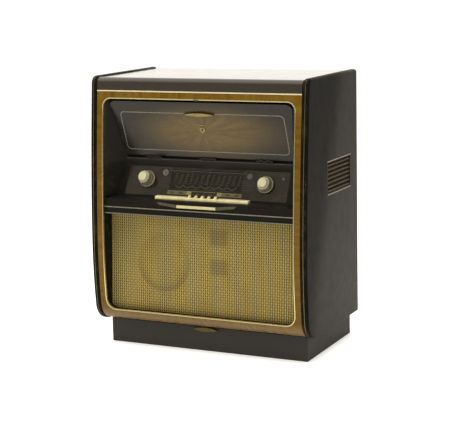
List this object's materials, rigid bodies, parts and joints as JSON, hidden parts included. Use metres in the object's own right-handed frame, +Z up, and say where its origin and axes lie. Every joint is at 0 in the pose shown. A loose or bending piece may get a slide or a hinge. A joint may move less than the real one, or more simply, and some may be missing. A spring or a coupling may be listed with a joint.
{
  "type": "radio phonograph console",
  "caption": "Free-standing wooden radio and record player console with a bowed front, sloping dial, piano keys, leaning flap, woven grille and plinth.",
  "frame": {"origin": "centre of the footprint box on the floor", "axes": "+Z up, front faces -Y, +X to the right seen from the front"},
  "size_m": [0.769, 0.45, 0.896],
  "materials": {
    "ebonised_wood": "satin dark-stained wood with faint vertical grain",
    "walnut": "glossy golden walnut veneer",
    "plywood": "bare birch plywood",
    "hardboard": "pressed brown fibreboard",
    "sunburst_veneer": "radial matched veneer shaded dark at the edges, lacquered",
    "black_lacquer": "glossy black lacquer",
    "brass": "polished, slightly tarnished",
    "gilt": "gold-lacquered plastic",
    "ivory_plastic": "aged ivory plastic",
    "grille_cloth": "coarse gold basket weave",
    "vent_plastic": "brown moulded plastic",
    "dial_glass": "dark printed glass",
    "dial_scale": "printed scale",
    "pointer": "painted",
    "zinc_steel": "zinc-plated sheet",
    "dark_steel": "dark enamel",
    "valve_glass": "clear glass with silvered top",
    "aluminium": "pressed sheet",
    "cream_paint": "cream enamel",
    "rubber_mat": "ribbed rubber",
    "chrome": "polished",
    "speaker_metal": "dark enamelled steel basket with paper cone",
    "cord_rubber": "matt black rubber"
  },
  "bodies": {
    "cabinet": {"side_panel_left": "ebonised_wood", "side_panel_right": "ebonised_wood", "top_panel": "ebonised_wood", "bottom_panel": "plywood", "back_cover": "hardboard", "plinth": "ebonised_wood", "front_frame": "walnut", "opening_bezel": "brass", "brass_trims": "brass", "recess_lining": "black_lacquer", "dial_surround": "black_lacquer", "baffle_board": "plywood", "grille_cloth": "grille_cloth", "side_vents": "vent_plastic", "flap_hinge_fixed": "dark_steel", "dial_glass": "dial_glass", "dial_scale": "dial_scale", "radio_chassis": "zinc_steel", "transformer": "dark_steel", "valves": "valve_glass", "tuning_capacitor": "aluminium", "key_rod": "zinc_steel", "tone_bar_wings": "gilt", "deck_board": "plywood", "deck_plate": "cream_paint", "changer_motor": "dark_steel", "spindle": "chrome", "woofer": "speaker_metal", "small_speakers": "speaker_metal", "mains_cord": "cord_rubber"},
    "flap": {"flap_door": "sunburst_veneer", "flap_pull": "brass", "flap_escutcheon": "brass", "flap_hinge_moving": "dark_steel", "flap_stays": "brass"},
    "turntable": {"platter": "zinc_steel", "platter_mat": "rubber_mat"},
    "arm_yoke": {"tonearm_yoke": "dark_steel"},
    "arm": {"tonearm": "ivory_plastic"},
    "speed_selector": {"speed_lever": "ivory_plastic"},
    "volume": {"volume_knob": "ivory_plastic"},
    "tone": {"tone_ring": "gilt"},
    "tuning": {"tuning_knob": "ivory_plastic"},
    "antenna": {"antenna_ring": "gilt"},
    "pointer": {"dial_pointer": "pointer"},
    "rotor": {"tuning_rotor": "aluminium"},
    "tone_press": {"tone_bar": "ivory_plastic"},
    "piano_key_1": {"key_1": "ivory_plastic"},
    "piano_key_2": {"key_2": "ivory_plastic"},
    "piano_key_3": {"key_3": "ivory_plastic"},
    "piano_key_4": {"key_4": "ivory_plastic"},
    "piano_key_5": {"key_5": "ivory_plastic"},
    "piano_key_6": {"key_6": "ivory_plastic"},
    "piano_key_7": {"key_7": "ivory_plastic"},
    "piano_key_8": {"key_8": "ivory_plastic"},
    "piano_key_9": {"key_9": "ivory_plastic"},
    "piano_key_10": {"key_10": "ivory_plastic"},
    "piano_key_11": {"key_11": "ivory_plastic"},
    "piano_key_12": {"key_12": "ivory_plastic"},
    "piano_key_13": {"key_13": "ivory_plastic"}
  },
  "joints": [
    {"name": "flap_hinge", "type": "hinge", "parent": "cabinet", "child": "flap", "pos_m": [0, -0.1135, 0.6275], "axis": [1, 0, 0], "range_deg": [0, 69.5]},
    {"name": "turntable_spin", "type": "hinge", "parent": "cabinet", "child": "turntable", "pos_m": [-0.04, 0.042, 0.655], "axis": [0, 0, -1], "continuous": true},
    {"name": "arm_swing", "type": "hinge", "parent": "cabinet", "child": "arm_yoke", "pos_m": [0.135, 0.135, 0.66], "axis": [0, 0, -1], "range_deg": [0, 46]},
    {"name": "arm_lift", "type": "hinge", "parent": "arm_yoke", "child": "arm", "pos_m": [0.135, 0.135, 0.684], "axis": [-1, 0, 0], "range_deg": [0, 12]},
    {"name": "speed_select", "type": "hinge", "parent": "cabinet", "child": "speed_selector", "pos_m": [0.14, -0.066, 0.651], "axis": [0, 0, 1], "range_deg": [-25, 25]},
    {"name": "volume_turn", "type": "hinge", "parent": "cabinet", "child": "volume", "pos_m": [-0.212, -0.1332, 0.55589], "axis": [0, 0.9119, -0.4104], "range_deg": [0, 270]},
    {"name": "tone_turn", "type": "hinge", "parent": "cabinet", "child": "tone", "pos_m": [-0.212, -0.1332, 0.55589], "axis": [0, 0.9119, -0.4104], "range_deg": [0, 270]},
    {"name": "tuning_turn", "type": "hinge", "parent": "cabinet", "child": "tuning", "pos_m": [0.212, -0.1332, 0.55589], "axis": [0, 0.9119, -0.4104], "range_deg": [-540, 540]},
    {"name": "antenna_turn", "type": "hinge", "parent": "cabinet", "child": "antenna", "pos_m": [0.212, -0.1332, 0.55589], "axis": [0, 0.9119, -0.4104], "range_deg": [0, 180]},
    {"name": "pointer_slide", "type": "slide", "parent": "cabinet", "child": "pointer", "axis": [1, 0, 0], "range_m": [-0.1205, 0.1205]},
    {"name": "rotor_turn", "type": "hinge", "parent": "cabinet", "child": "rotor", "pos_m": [0.07, 0.02, 0.517], "axis": [1, 0, 0], "range_deg": [-90.5, 90.5]},
    {"name": "tone_bar_press", "type": "slide", "parent": "cabinet", "child": "tone_press", "axis": [0, 1, 0], "range_m": [0, 0.0025]},
    {"name": "key_1_press", "type": "hinge", "parent": "cabinet", "child": "piano_key_1", "pos_m": [0, -0.1, 0.4875], "axis": [1, 0, 0], "range_deg": [0, 3.5]},
    {"name": "key_2_press", "type": "hinge", "parent": "cabinet", "child": "piano_key_2", "pos_m": [0, -0.1, 0.4875], "axis": [1, 0, 0], "range_deg": [0, 3.5]},
    {"name": "key_3_press", "type": "hinge", "parent": "cabinet", "child": "piano_key_3", "pos_m": [0, -0.1, 0.4875], "axis": [1, 0, 0], "range_deg": [0, 3.5]},
    {"name": "key_4_press", "type": "hinge", "parent": "cabinet", "child": "piano_key_4", "pos_m": [0, -0.1, 0.4875], "axis": [1, 0, 0], "range_deg": [0, 3.5]},
    {"name": "key_5_press", "type": "hinge", "parent": "cabinet", "child": "piano_key_5", "pos_m": [0, -0.1, 0.4875], "axis": [1, 0, 0], "range_deg": [0, 3.5]},
    {"name": "key_6_press", "type": "hinge", "parent": "cabinet", "child": "piano_key_6", "pos_m": [0, -0.1, 0.4875], "axis": [1, 0, 0], "range_deg": [0, 3.5]},
    {"name": "key_7_press", "type": "hinge", "parent": "cabinet", "child": "piano_key_7", "pos_m": [0, -0.1, 0.4875], "axis": [1, 0, 0], "range_deg": [0, 3.5]},
    {"name": "key_8_press", "type": "hinge", "parent": "cabinet", "child": "piano_key_8", "pos_m": [0, -0.1, 0.4875], "axis": [1, 0, 0], "range_deg": [0, 3.5]},
    {"name": "key_9_press", "type": "hinge", "parent": "cabinet", "child": "piano_key_9", "pos_m": [0, -0.1, 0.4875], "axis": [1, 0, 0], "range_deg": [0, 3.5]},
    {"name": "key_10_press", "type": "hinge", "parent": "cabinet", "child": "piano_key_10", "pos_m": [0, -0.1, 0.4875], "axis": [1, 0, 0], "range_deg": [0, 3.5]},
    {"name": "key_11_press", "type": "hinge", "parent": "cabinet", "child": "piano_key_11", "pos_m": [0, -0.1, 0.4875], "axis": [1, 0, 0], "range_deg": [0, 3.5]},
    {"name": "key_12_press", "type": "hinge", "parent": "cabinet", "child": "piano_key_12", "pos_m": [0, -0.1, 0.4875], "axis": [1, 0, 0], "range_deg": [0, 3.5]},
    {"name": "key_13_press", "type": "hinge", "parent": "cabinet", "child": "piano_key_13", "pos_m": [0, -0.1, 0.4875], "axis": [1, 0, 0], "range_deg": [0, 3.5]}
  ],
  "couplings": [
    {"joint": "pointer_slide", "follows": "tuning_turn", "m_per_rad": 0.012732},
    {"joint": "rotor_turn", "follows": "tuning_turn", "ratio": 0.16667}
  ]
}
